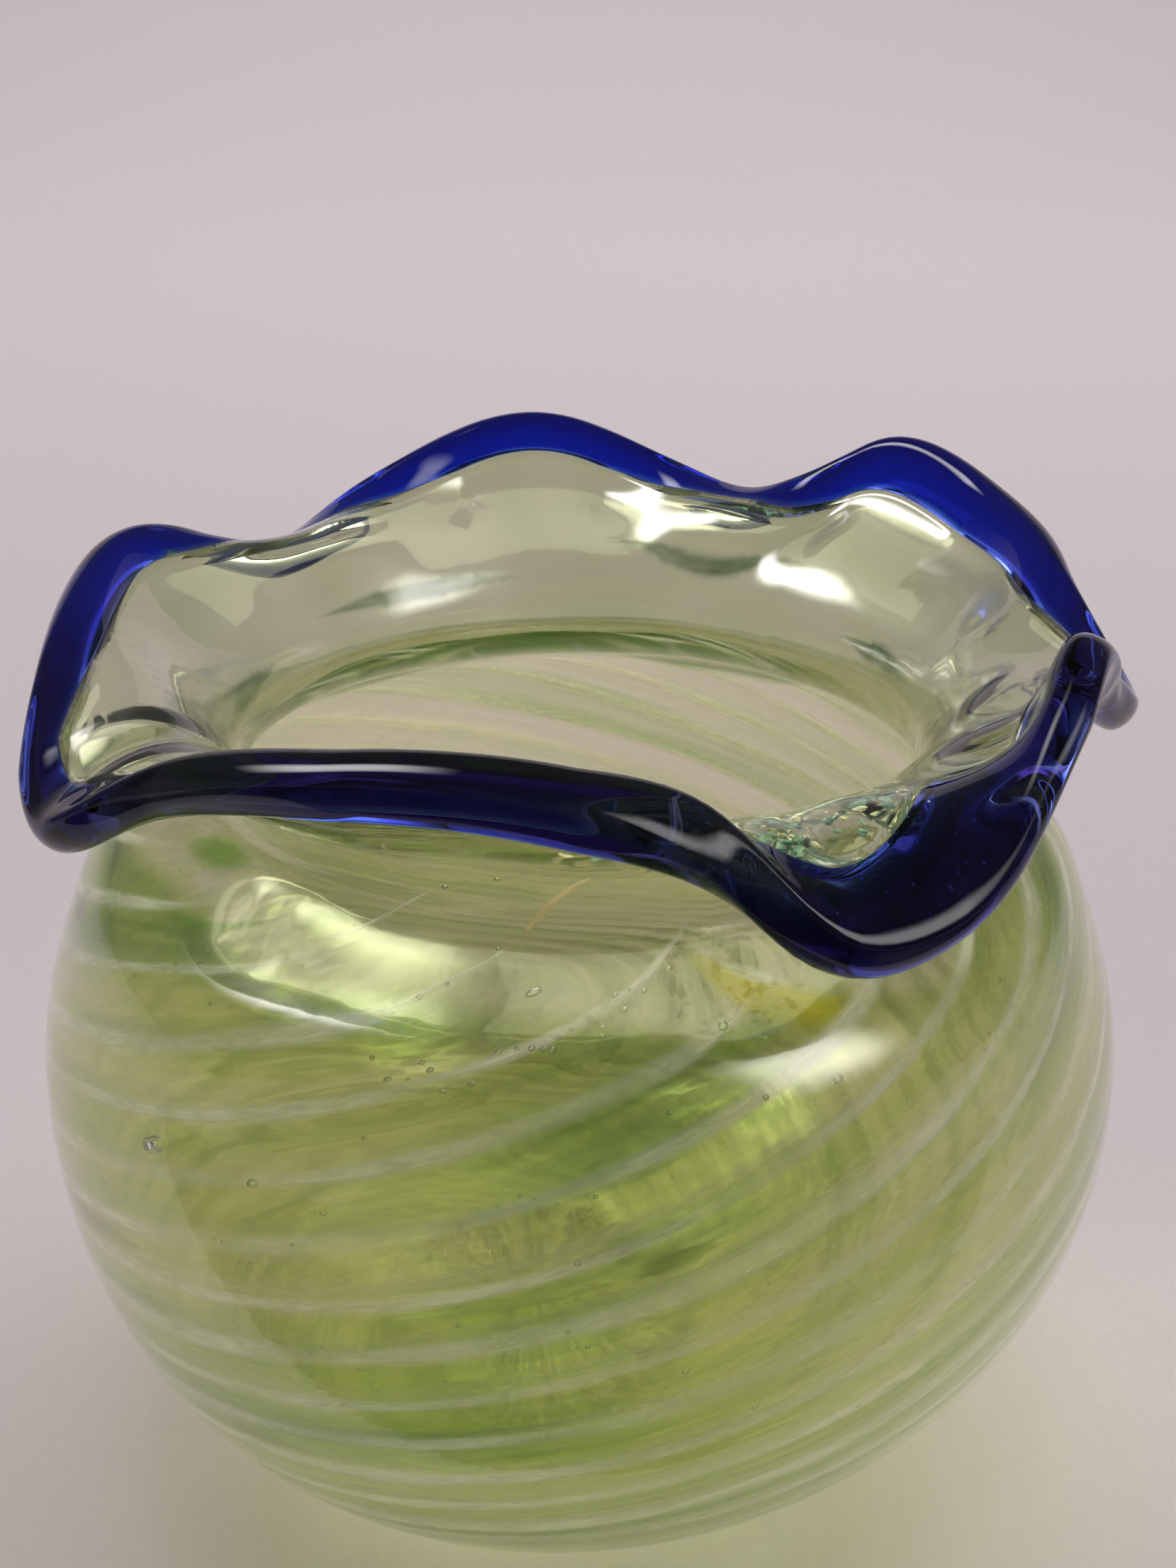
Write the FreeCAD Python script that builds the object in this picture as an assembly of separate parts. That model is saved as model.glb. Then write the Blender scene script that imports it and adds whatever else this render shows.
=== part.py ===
"""Hand-blown art glass bowl: a globular body under a waisted neck and a ruffled, flared mouth.

The glass is built up in the order it is gathered: a clear inner gather, a thin colour overlay, white
threads and green streaks laid on it in a swirl, a clear outer casing, and a cobalt wrap on the lip.
Millimetres, +Z up. The origin is the centre of the flat that the bowl stands on, -Y is its front.
"""
import FreeCAD, Part
import math
import os

# Body, outer face
BODY_RADIUS = 55.0        # at the equator
EQUATOR_HEIGHT = 44.0
LOWER_DEPTH = 47.2        # half height of the full oval below the equator, which the base cuts off
UPPER_RISE = 46.5         # half height of the full oval above the equator, which the neck cuts off
UPPER_FULLNESS = 2.2      # 2 is an ellipse, more is squarer
SHOULDER_RADIUS = 46.0    # where the shoulder leaves the oval and turns up into the neck
LEAN = 5.5                # how far the body's axis stands to the right of the base's centre

# Neck and mouth, outer face
NECK_RADIUS = 35.8
NECK_HEIGHT = 78.6
COLLAR_RADIUS = 37.8
COLLAR_HEIGHT = 83.4
FLARE_LENGTH = 9.0        # length of the nearly straight stretch up to the rim
HIGH_RIM = 96.5           # a rim point this high or higher stands up at STEEP_FLARE
LOW_RIM = 83.5            # a rim point this low droops at DROOP
STEEP_FLARE = 66.0        # degrees above level
DROOP = -26.0

# The ruffle: azimuth in degrees from the front towards the right, radius and height of the rim
RUFFLE = [
    (0, 48.5, 96.5),
    (11, 49.4, 92.6),
    (21, 54.4, 83.2),     # deep trough at the right front
    (31, 54.8, 83.8),
    (43, 52.8, 91.0),
    (57, 49.6, 98.4),     # highest pleat
    (69, 49.8, 91.0),
    (80, 51.2, 84.0),     # drooping end at the right
    (92, 49.8, 88.0),
    (106, 51.0, 93.2),
    (121, 52.6, 96.2),
    (137, 52.0, 98.2),    # right rear crest
    (154, 47.4, 88.8),    # right rear dip
    (169, 49.0, 93.2),
    (187, 50.8, 98.2),    # rear crest
    (207, 50.2, 92.8),
    (218, 49.0, 87.2),
    (229, 48.0, 84.4),    # left rear dip
    (240, 49.5, 89.1),
    (250, 50.6, 93.5),    # left crest
    (265, 50.0, 92.8),
    (288, 50.4, 87.2),
    (306, 53.0, 82.5),    # drooping end at the left front
    (320, 50.8, 90.9),
    (337, 49.0, 96.3),
]

# Glass layers: thicknesses on the body, from the outside in
CASING = 1.3
THREAD_LAYER = 0.5
OVERLAY = 0.25
BOND_LINE = 0.05          # between the overlay and the inner gather
WALL = 3.3
RIM_WALL = 2.6
CASING_BASE = 1.2         # extra thickness of the casing under the base
INNER_BASE = 1.5          # extra thickness of the inner gather under the base
BASE_BLEND = 14.0         # height over which the base thins to the wall
OVERLAY_END = 0.80        # share of the wall's length that the overlay covers
TAPER_START = 0.78        # share of the wall's length where the wall starts to thin
END_GAP = 0.1             # between the wall's cut edge and the lip wrap

# Lip wrap
WRAP_HEIGHT = 4.6
WRAP_INSIDE = 0.25        # how far it stands proud of the wall's inner face
WRAP_OUTSIDE = 1.6        # how far it stands proud of the wall's outer face
WRAP_SWELLS = [           # azimuth, degrees either side it reaches, extra height, extra bulge outwards
    (12, 16, 0.0, 1.8),   # left side of the trough
    (41, 19, 5.3, 0.0),   # right side of the trough
    (128, 22, 2.2, 0.0),  # right rear crest
    (355, 22, 1.1, 0.0),  # front
]

# White threads and green streaks
THREAD_COUNT = 20
THREAD_TURNS = 0.9
THREAD_THICKNESS = 0.34
THREAD_WIDTHS = [1.5, 1.1, 1.8, 1.2, 1.4]   # taken in turn
THREAD_TOP = 97.0         # distance up the outer face where a thread begins
THREAD_FOOT = 6.0
THREAD_TAPER = 0.08       # share of a thread's length over which each end narrows
FIRST_AZIMUTH = 40.0      # of the first thread's top end
SWIRL_POWER = 1.25        # above 1 the swirl is steep at the neck and flat at the base
STREAK_THICKNESS = 0.26
STREAK_TAPER = 0.5        # a streak narrows from its middle to both ends
BLUNT_END = 0.16          # width of an end as a share of the full width
CHAMFER = 0.8             # the flat top and bottom as a share of the width
STREAKS = [               # thread it lies beside, share of the swirl where it starts, its length, width
    (0, 0.36, 0.10, 2.4),
    (4, 0.52, 0.07, 2.0),
    (7, 0.22, 0.12, 2.4),
    (11, 0.60, 0.09, 2.2),
    (14, 0.30, 0.11, 2.4),
    (17, 0.68, 0.08, 2.0),
]

# How finely the surfaces are laid out
COLUMNS = 72
RIM_TRACE = 3600
ROWS = 46
THREAD_STEPS = 72
STREAK_STEPS = 12
NUDGE = 0.002             # step along a swirl line that gives its direction

Vector = FreeCAD.Vector


def lean(height):
    """Sideways place of the body's axis at a height: it bows back to the base's centre at the bottom."""
    below = max(0.0, EQUATOR_HEIGHT - height) / EQUATOR_HEIGHT
    return LEAN * (1.0 - below ** 2)


def rim_samples():
    """Radius and height of the smooth rim line at evenly spaced azimuths."""
    points = []
    for azimuth, radius, height in RUFFLE:
        turn = math.radians(azimuth)
        points.append(Vector(radius * math.sin(turn), -radius * math.cos(turn), height))
    rim = Part.BSplineCurve()
    rim.interpolate(Points=points, PeriodicFlag=True)
    traced = []
    for point in rim.discretize(Number=RIM_TRACE):
        traced.append((math.atan2(point.x, -point.y), math.hypot(point.x, point.y), point.z))
    samples = []
    for column in range(COLUMNS):
        azimuth = 2 * math.pi * column / COLUMNS
        nearest = min(traced, key=lambda place: abs(math.remainder(place[0] - azimuth, 2 * math.pi)))
        samples.append((azimuth, nearest[1], nearest[2]))
    return samples


def body_stations():
    """Radius and height of the outer face from the base's edge to the shoulder."""
    stations = []
    lowest = math.asin(EQUATOR_HEIGHT / LOWER_DEPTH)
    for step in (1.0, 0.8, 0.55, 0.27, 0.0):
        angle = lowest * step
        stations.append((BODY_RADIUS * math.cos(angle), EQUATOR_HEIGHT - LOWER_DEPTH * math.sin(angle)))
    power = 2.0 / UPPER_FULLNESS
    highest = math.acos((SHOULDER_RADIUS / BODY_RADIUS) ** (1.0 / power))
    for step in (0.35, 0.7, 1.0):
        angle = highest * step
        radius = BODY_RADIUS * math.cos(angle) ** power
        stations.append((radius, EQUATOR_HEIGHT + UPPER_RISE * math.sin(angle) ** power))
    return stations


def meridian(rim_radius, rim_height):
    """The outer face's curve in one upright half plane, from the base's edge to the rim."""
    share = (rim_height - LOW_RIM) / (HIGH_RIM - LOW_RIM)
    share = min(1.0, max(0.0, share))
    slope = math.radians(DROOP + (STEEP_FLARE - DROOP) * share)
    crest_radius = rim_radius - FLARE_LENGTH * math.cos(slope)
    crest_height = rim_height - FLARE_LENGTH * math.sin(slope)
    stations = body_stations()
    stations.append((NECK_RADIUS, NECK_HEIGHT))
    stations.append((COLLAR_RADIUS, COLLAR_HEIGHT))
    stations.append((crest_radius, crest_height))
    stations.append((rim_radius, rim_height))
    curve = Part.BSplineCurve()
    curve.interpolate(Points=[Vector(radius, 0, height) for radius, height in stations])
    return curve


def wrap_swell(azimuth):
    """Extra height and extra outward bulge of the lip wrap at an azimuth."""
    height = 0.0
    bulge = 0.0
    for centre, reach, extra_height, extra_bulge in WRAP_SWELLS:
        off = (math.degrees(azimuth) - centre + 180.0) % 360.0 - 180.0
        swell = math.exp(-(off / reach) ** 2)
        height += swell * extra_height
        bulge += swell * extra_bulge
    return height, bulge


class Column:
    """The wall's section in the half plane at one azimuth."""

    def __init__(self, azimuth, rim_radius, rim_height):
        self.azimuth = azimuth
        self.curve = meridian(rim_radius, rim_height)
        self.length = self.curve.length()
        extra_height, extra_bulge = wrap_swell(azimuth)
        self.wrap = WRAP_HEIGHT + extra_height
        self.bulge = WRAP_OUTSIDE + extra_bulge
        self.wall_length = self.length - self.wrap

    def place(self, along, depth):
        """The point at a distance along the outer face and a depth into the glass."""
        parameter = self.curve.parameterAtDistance(along, self.curve.FirstParameter)
        point = self.curve.value(parameter)
        tangent = self.curve.tangent(parameter)[0]
        radius = point.x - depth * tangent.z
        height = point.z + depth * tangent.x
        return Vector(
            radius * math.sin(self.azimuth) + lean(point.z),
            -radius * math.cos(self.azimuth),
            height,
        )

    def base_share(self, along):
        """1 at the base's edge, falling to 0 where the base has thinned to the wall."""
        parameter = self.curve.parameterAtDistance(along, self.curve.FirstParameter)
        height = self.curve.value(parameter).z
        return max(0.0, 1.0 - height / BASE_BLEND) ** 2


def taper(share):
    """1 on the body, falling smoothly to 0 at the wall's cut edge."""
    done = max(0.0, share - TAPER_START) / (1.0 - TAPER_START)
    return 0.5 + 0.5 * math.cos(math.pi * done)


def casing_depth(share, base):
    middle = RIM_WALL / 2 - BOND_LINE / 2
    return middle + (CASING - middle) * taper(share) + CASING_BASE * base


def gather_depth(share, base):
    middle = RIM_WALL / 2 + BOND_LINE / 2
    layers = CASING + THREAD_LAYER + OVERLAY + BOND_LINE
    return middle + (layers - middle) * taper(share) + CASING_BASE * base


def wall_depth(share, base):
    return RIM_WALL + (WALL - RIM_WALL) * taper(share) + (CASING_BASE + INNER_BASE) * base


def thread_depth(share, base):
    """The middle of the thin layer that the threads lie in."""
    middle = RIM_WALL / 2
    return middle + (CASING + THREAD_LAYER / 2 - middle) * taper(share) + CASING_BASE * base


def overlay_outer_depth(share, base):
    return CASING + THREAD_LAYER + CASING_BASE * base


def overlay_inner_depth(share, base):
    return CASING + THREAD_LAYER + OVERLAY + CASING_BASE * base


def surface_row(columns, share, depth_of):
    """One closed row of surface poles, at a share of the wall's length and a depth that a rule gives."""
    row = []
    for column in columns:
        along = share * (column.wall_length - END_GAP)
        row.append(column.place(along, depth_of(share, column.base_share(along))))
    return row


def shares(end=1.0):
    return [end * step / (ROWS - 1) for step in range(ROWS)]


def clamped_knots(count):
    spans = count - 3
    return [4] + [1] * (spans - 1) + [4], [float(knot) for knot in range(spans + 1)]


def periodic_knots(count):
    return [1] * (count + 1), [float(knot) for knot in range(count + 1)]


def ring_surface(rows, closed_section=False):
    """A smooth surface on rows of poles that each close on themselves."""
    row_mults, row_knots = periodic_knots(len(rows)) if closed_section else clamped_knots(len(rows))
    column_mults, column_knots = periodic_knots(len(rows[0]))
    surface = Part.BSplineSurface()
    surface.buildFromPolesMultsKnots(
        rows, row_mults, column_mults, row_knots, column_knots, closed_section, True, 3, 3
    )
    return surface


def sewn_solid(faces):
    shell = Part.makeShell(faces)
    shell.sewShape()
    solid = Part.makeSolid(Part.Shell(shell.Faces))
    if solid.Volume < 0:
        solid.reverse()
    return solid


def capped_solid(surface):
    """A solid from a tube-like surface whose two end loops are flat."""
    side = surface.toShape()
    faces = [side]
    for edge in side.Edges:
        if edge.isClosed() and not edge.isSeam(side):
            faces.append(Part.Face(Part.Wire([edge])))
    return sewn_solid(faces)


def cup(columns, outer_depth, inner_depth, end=1.0):
    """A cup-shaped layer of glass between two depths, open at the top and flat at the bottom."""
    inside = [surface_row(columns, share, inner_depth) for share in shares(end)]
    outside = [surface_row(columns, share, outer_depth) for share in shares(end)]
    rows = inside + [inside[-1], outside[-1]] + outside[::-1]
    return capped_solid(ring_surface(rows))


def face_depth(share, base):
    """The outer face itself."""
    return 0.0


def wrap_section(bulge):
    """Poles of the wrap's section: share of its height up from its foot, depth."""
    inside = RIM_WALL + WRAP_INSIDE
    outside = -bulge
    return [
        (0.0, RIM_WALL / 2),
        (0.0, RIM_WALL),
        (0.0, RIM_WALL),
        (0.25, inside),
        (0.6, inside),
        (0.96, inside),
        (1.12, (inside + outside) / 2),
        (0.96, outside),
        (0.6, outside),
        (0.22, outside),
        (0.0, 0.0),
        (0.0, 0.0),
    ]


def wrap_pole(column, share, depth):
    """A pole of the wrap; beyond the rim it lies straight on from the wall's last millimetre."""
    point = column.place(column.wall_length + min(share, 1.0) * column.wrap, depth)
    if share > 1.0:
        below = column.place(column.length - 1.0, depth)
        point = point + (point - below) * ((share - 1.0) * WRAP_HEIGHT)
    return point


def lip_wrap(columns):
    """The cobalt trail rolled on the rim: round at the top, square where it meets the wall's cut edge."""
    sections = [wrap_section(column.bulge) for column in columns]
    rows = []
    for pole in range(len(sections[0])):
        rows.append([wrap_pole(column, *section[pole]) for column, section in zip(columns, sections)])
    face = ring_surface(rows, closed_section=True).toShape()
    solid = Part.makeSolid(Part.makeShell([face]))
    if solid.Volume < 0:
        solid.reverse()
    return solid


def swirl_place(start_azimuth, progress):
    """Distance up the wall and azimuth of a swirl line, progress 0 at its top and 1 at its foot."""
    along = THREAD_TOP + (THREAD_FOOT - THREAD_TOP) * progress
    azimuth = math.radians(start_azimuth) - 2 * math.pi * THREAD_TURNS * progress ** SWIRL_POWER
    return along, azimuth


def wall_length_at(columns, azimuth):
    """Length of the wall between its foot and its cut edge, at any azimuth."""
    place = azimuth / (2 * math.pi) % 1.0 * COLUMNS
    left = int(place) % COLUMNS
    right = (left + 1) % COLUMNS
    over = place - int(place)
    length = columns[left].wall_length * (1.0 - over) + columns[right].wall_length * over
    return length - END_GAP


def ribbon(columns, layer, start_azimuth, first, last, width, thickness, ends, steps):
    """A flat ribbon of glass that lies in the thread layer along part of a swirl line."""
    last_u = layer.getUKnots()[-1]
    zero = layer.value(last_u / 2, 0.0)
    first_azimuth = math.atan2(zero.x - LEAN, -zero.y)

    def on_layer(progress):
        along, azimuth = swirl_place(start_azimuth, progress)
        turn = (azimuth - first_azimuth) / (2 * math.pi) % 1.0
        return along / wall_length_at(columns, azimuth) * last_u, turn * COLUMNS

    rows = []
    for step in range(steps):
        done = step / (steps - 1)
        progress = first + (last - first) * done
        u, v = on_layer(progress)
        centre = layer.value(u, v)
        normal = layer.normal(u, v)
        ahead = layer.value(*on_layer(progress + NUDGE))
        across = (ahead - centre).cross(normal).normalize()
        swell = math.sin(math.pi / 2 * min(1.0, done / ends, (1.0 - done) / ends))
        half = width / 2 * (BLUNT_END + (1.0 - BLUNT_END) * swell)
        flat = half * CHAMFER
        lift = thickness / 2
        section = [(half, 0.0), (flat, lift), (-flat, lift), (-half, 0.0), (-flat, -lift), (flat, -lift)]
        rows.append([centre + across * side + normal * up for side, up in section])
    mults, knots = clamped_knots(steps)
    faces = []
    for corner in range(len(section)):
        strip = [[row[corner - 1], row[corner]] for row in rows]
        surface = Part.BSplineSurface()
        surface.buildFromPolesMultsKnots(strip, mults, [2, 2], knots, [0.0, 1.0], False, False, 3, 1)
        faces.append(surface.toShape())
    for row in (rows[0], rows[-1]):
        faces.append(Part.Face(Part.makePolygon(row + [row[0]])))
    return sewn_solid(faces)


def build():
    columns = [Column(*sample) for sample in rim_samples()]
    layer = ring_surface([surface_row(columns, share, thread_depth) for share in shares()])
    nodes = {
        "outer_casing": cup(columns, face_depth, casing_depth),
        "colour_overlay": cup(columns, overlay_outer_depth, overlay_inner_depth, OVERLAY_END),
        "inner_gather": cup(columns, gather_depth, wall_depth),
        "lip_wrap": lip_wrap(columns),
    }
    spacing = 360.0 / THREAD_COUNT
    for index in range(THREAD_COUNT):
        start = FIRST_AZIMUTH + spacing * index
        name = "white_thread_%02d" % (index + 1)
        width = THREAD_WIDTHS[index % len(THREAD_WIDTHS)]
        nodes[name] = ribbon(
            columns, layer, start, 0.0, 1.0, width, THREAD_THICKNESS, THREAD_TAPER, THREAD_STEPS
        )
    for number, (thread, first, reach, width) in enumerate(STREAKS, start=1):
        start = FIRST_AZIMUTH + spacing * (thread + 0.5)
        name = "green_streak_%02d" % number
        nodes[name] = ribbon(
            columns, layer, start, first, first + reach, width, STREAK_THICKNESS, STREAK_TAPER, STREAK_STEPS
        )
    return nodes


os.makedirs("parts", exist_ok=True)
for node, solid in build().items():
    solid.exportStep("parts/%s.step" % node)
    box = solid.BoundBox
    print("%-16s %-5s volume %9.1f mm3  z %6.2f to %6.2f  x %6.2f to %6.2f  y %6.2f to %6.2f" % (
        node, solid.isValid(), solid.Volume, box.ZMin, box.ZMax, box.XMin, box.XMax, box.YMin, box.YMax))
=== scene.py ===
import math
import random

import bmesh
import bpy
import numpy as np
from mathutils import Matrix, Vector


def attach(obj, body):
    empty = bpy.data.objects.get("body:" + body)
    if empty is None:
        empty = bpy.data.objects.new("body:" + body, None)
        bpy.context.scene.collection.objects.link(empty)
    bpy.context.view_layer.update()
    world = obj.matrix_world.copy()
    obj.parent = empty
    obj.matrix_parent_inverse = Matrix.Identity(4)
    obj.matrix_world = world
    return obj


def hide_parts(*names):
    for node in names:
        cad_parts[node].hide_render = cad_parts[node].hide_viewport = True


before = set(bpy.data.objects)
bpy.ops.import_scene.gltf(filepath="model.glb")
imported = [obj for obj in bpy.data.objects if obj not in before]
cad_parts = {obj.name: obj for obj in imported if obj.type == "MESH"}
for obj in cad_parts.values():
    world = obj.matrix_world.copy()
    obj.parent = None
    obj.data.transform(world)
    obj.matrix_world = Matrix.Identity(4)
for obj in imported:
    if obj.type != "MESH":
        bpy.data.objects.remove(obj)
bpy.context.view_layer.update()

MM = 0.001

# ---------------------------------------------------------------- dimensions, millimetres, as in the CAD
BODY_RADIUS = 55.0
EQUATOR_HEIGHT = 44.0
LOWER_DEPTH = 47.2
UPPER_RISE = 46.5
UPPER_FULLNESS = 2.2
SHOULDER_RADIUS = 46.0
LEAN = 5.5
NECK_RADIUS = 35.8
NECK_HEIGHT = 78.6
COLLAR_RADIUS = 37.8
COLLAR_HEIGHT = 83.4
FLARE_LENGTH = 9.0
HIGH_RIM = 96.5
LOW_RIM = 83.5
STEEP_FLARE = 66.0
DROOP = -26.0
RUFFLE = [                # azimuth from the front towards the right, rim radius, rim height
    (0, 48.5, 96.5), (11, 49.4, 92.6), (21, 54.4, 83.2), (31, 54.8, 83.8), (43, 52.8, 91.0),
    (57, 49.6, 98.4), (69, 49.8, 91.0), (80, 51.2, 84.0), (92, 49.8, 88.0), (106, 51.0, 93.2),
    (121, 52.6, 96.2), (137, 52.0, 98.2), (154, 47.4, 88.8), (169, 49.0, 93.2), (187, 50.8, 98.2),
    (207, 50.2, 92.8), (218, 49.0, 87.2), (229, 48.0, 84.4), (240, 49.5, 89.1), (250, 50.6, 93.5),
    (265, 50.0, 92.8), (288, 50.4, 87.2), (306, 53.0, 82.5), (320, 50.8, 90.9), (337, 49.0, 96.3),
]
CASING = 1.3
THREAD_LAYER = 0.5
OVERLAY = 0.25
WALL = 3.3
RIM_WALL = 2.6
CASING_BASE = 1.2
INNER_BASE = 1.5
BASE_BLEND = 14.0
OVERLAY_END = 0.80
TAPER_START = 0.78
WRAP_HEIGHT = 4.6
WRAP_INSIDE = 0.25
WRAP_OUTSIDE = 1.6
WRAP_SWELLS = [           # azimuth, degrees either side it reaches, extra height, extra bulge outwards
    (12, 16, 0.0, 1.8), (41, 19, 5.3, 0.0), (128, 22, 2.2, 0.0), (355, 22, 1.1, 0.0),
]
THREAD_COUNT = 20
THREAD_TURNS = 0.9
THREAD_THICKNESS = 0.34
THREAD_WIDTHS = [1.5, 1.1, 1.8, 1.2, 1.4]   # taken in turn
THREAD_TOP = 97.0         # distance up the outer face
THREAD_FOOT = 6.0
THREAD_TAPER = 0.08
FIRST_AZIMUTH = 40.0
SWIRL_POWER = 1.25
BAND_LAG = 3.0            # degrees that the milky bands lie behind the threads
BAND_SCALE = 116.0        # distance that counts as one unit in the swirl coordinates
STREAKS = [               # thread beside it, share of the swirl where it starts, its length, width
    (0, 0.36, 0.10, 2.4), (4, 0.52, 0.07, 2.0), (7, 0.22, 0.12, 2.4),
    (11, 0.60, 0.09, 2.2), (14, 0.30, 0.11, 2.4), (17, 0.68, 0.08, 2.0),
]
STREAK_TAPER = 0.5
FEATHERED_WIDTH = 1.7     # the threads' edges fade out, so each ribbon is drawn this much wider
TRAIL_THICKNESS = 0.3
FRIT_ROUGHNESS = 0.35
# Marks in the glass as (azimuth, distance up the outer face) places
OPAL_TRAIL = [
    (17.5, 102.8), (12.5, 100.4), (7.5, 97.4), (2.5, 94.8),
    (-2, 92.6), (-6, 90.8), (-12, 88.6), (-18, 86.8),
]
PEACH_BAR = [(2.5, 107.5), (-2.5, 104.4), (-5, 102.7), (-7.5, 101.2)]
# painted reflection of the front trough's lip in the shoulder, drawn as a yellow and a pale grey patch
LIP_REFLECTION_AMBER = [(13, 100.5), (18, 96.5), (25, 92.8), (31, 92.6)]
LIP_REFLECTION_GREY = [(16, 98.6), (20, 96.4), (25, 94.8)]
LEAF_PATCH = [(-68, 97.0), (-60, 99.2), (-50, 100.6)]
LEAF_EDGE = [(-58, 92.6), (-48, 94.4), (-40, 98.6)]
HAIR_TRAILS = [
    [(-7.5, 101.2), (-11, 99.2), (-15, 97.2), (-19, 94.6), (-23, 91.6)],
    [(-17.5, 104.4), (-25, 101.8), (-30, 99.6), (-35, 97.2)],
]
GREEN_SMEARS = [
    [(-1, 73.6), (2.5, 74.8), (7.5, 76.4), (11, 77.4)],
    [(4, 72.6), (8, 74.0), (13, 75.2)],
]
# painted shade along the pleats of the mouth, where the folds' glass is seen edge-on
FOLD_SHADE_WISPS = [                 # azimuth, height, degrees it spans, width
    (213, 82.0, 44, 3.6), (157, 84.6, 38, 3.4), (112, 80.5, 24, 3.2), (262, 80.5, 26, 3.0),
]
TONES = [                 # where the mottling is darker, or paler below zero:
    # azimuth, distance, reach in degrees, reach in millimetres, amount
    (5, 82, 15, 9, 1.5), (-8, 72, 14, 7, 0.5), (22, 66, 18, 11, -0.9), (33, 80, 14, 8, -0.4),
    (-60, 99, 10, 4, 0.9), (-18, 57, 20, 7, 0.4), (-32, 66, 14, 8, -0.5), (48, 78, 14, 14, -0.4),
]
SHOULDER_TONE = (0, 104, 62, 11)   # the olive front of the shoulder, laid out like TONES
RICH_TONE = (356, 78)     # azimuth and reach of the strongly coloured side
PALEST = 0.12             # share of that colour left on the other side
# painted shade: a darker green ring in the neck, where its glass is seen edge-on
NECK_SHADE_RING = [           # azimuth, reach, strength of the green ring in the neck
    (225, 50, 1.0), (165, 30, 0.6),
]
NECK_SHADE_LEAST = 0.10
# painted shade: the wrap's front is painted nearly black, partly for its thicker glass and partly as shade
THICK_AND_SHADED_COBALT = [(5, 75), (300, 25), (70, 25)]   # azimuth, reach where the wrap looks nearly black
BUBBLE_DEPTH = 0.72       # from the thread layer outwards
BUBBLE_GROWTH = 1.15
SMALL_SEEDS = 150
TROUGH_AZIMUTH = 25.0
BUBBLES = [               # azimuth, distance up the outer face, radius, how far it is drawn out
    (-42.5, 74.8, 0.78, 1.8), (-30, 76.0, 0.34, 1.5), (25, 86.0, 0.38, 1.05), (15, 92.4, 0.36, 1.1),
    (17.5, 86.0, 0.24, 1.0), (-27.5, 90.8, 0.24, 1.3), (-5, 96.4, 0.32, 2.0), (-20, 94.0, 0.24, 1.1),
    (-2.5, 91.2, 0.26, 1.3), (-12.5, 87.2, 0.22, 1.3), (-17.5, 94.8, 0.20, 1.2), (-15, 96.4, 0.18, 1.0),
    (2.5, 92.4, 0.20, 1.2), (-10, 88.0, 0.20, 1.4), (-20, 88.8, 0.20, 1.0), (0, 74.4, 0.26, 1.0),
    (-5, 79.6, 0.15, 1.0), (-22.5, 75.6, 0.20, 1.5), (-10, 100.0, 0.16, 1.0), (-40, 88.4, 0.16, 1.0),
    (-17.5, 104.4, 0.20, 1.5), (-10, 106.4, 0.22, 1.2), (-45, 99.6, 0.22, 1.5), (5, 94.8, 0.20, 1.6),
    (-15, 89.2, 0.18, 1.3),
]

# How finely the meshes are laid out
COLUMNS = 288
CURVE_POINTS = 500
WALL_ROWS = 120
BASE_ROWS = 8
RING_GAP = 0.03           # between the wall's end and the lip wrap
WRAP_STEPS = 6
LAYER_ROWS = 220
RIBBON_CORNERS = 10
THREAD_STEPS = 360
STREAK_STEPS = 60
WISP_STEPS = 50


# ---------------------------------------------------------------- curves
def cubic(knots, values, places, closed=False):
    """A natural or closed cubic spline through values at knots, read at places."""
    knots = np.asarray(knots, float)
    values = np.asarray(values, float)
    if closed:
        period = knots[-1] - knots[0]
        reach = 4
        knots = np.concatenate([knots[-1 - reach:-1] - period, knots, knots[1:1 + reach] + period])
        values = np.concatenate([values[-1 - reach:-1], values, values[1:1 + reach]])
    gaps = np.diff(knots)
    slopes = np.diff(values, axis=0) / gaps[:, None]
    count = len(knots)
    system = np.eye(count)
    right = np.zeros(values.shape)
    for row in range(1, count - 1):
        system[row, row - 1] = gaps[row - 1]
        system[row, row] = 2 * (gaps[row - 1] + gaps[row])
        system[row, row + 1] = gaps[row]
        right[row] = 6 * (slopes[row] - slopes[row - 1])
    bend = np.linalg.solve(system, right)
    span = np.clip(np.searchsorted(knots, places) - 1, 0, count - 2)
    gap = gaps[span][:, None]
    before = (places - knots[span])[:, None]
    after = gap - before
    return (
        bend[span] * after ** 3 / (6 * gap)
        + bend[span + 1] * before ** 3 / (6 * gap)
        + (values[span] / gap - bend[span] * gap / 6) * after
        + (values[span + 1] / gap - bend[span + 1] * gap / 6) * before
    )


def chord_knots(points):
    return np.concatenate([[0.0], np.cumsum(np.linalg.norm(np.diff(points, axis=0), axis=1))])


def rim_line(azimuths):
    """Radius and height of the rim at the given azimuths."""
    points = [
        (radius * math.sin(math.radians(turn)), -radius * math.cos(math.radians(turn)), height)
        for turn, radius, height in RUFFLE
    ]
    points = np.array(points + [points[0]])
    knots = chord_knots(points)
    traced = cubic(knots, points, np.linspace(0, knots[-1], 7200, endpoint=False), closed=True)
    turns = np.arctan2(traced[:, 0], -traced[:, 1]) % (2 * math.pi)
    order = np.argsort(turns)
    radii = np.hypot(traced[:, 0], traced[:, 1])
    full = 2 * math.pi
    return (
        np.interp(azimuths, turns[order], radii[order], period=full),
        np.interp(azimuths, turns[order], traced[order, 2], period=full),
    )


def lean(height):
    below = np.maximum(0.0, EQUATOR_HEIGHT - height) / EQUATOR_HEIGHT
    return LEAN * (1.0 - below ** 2)


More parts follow.
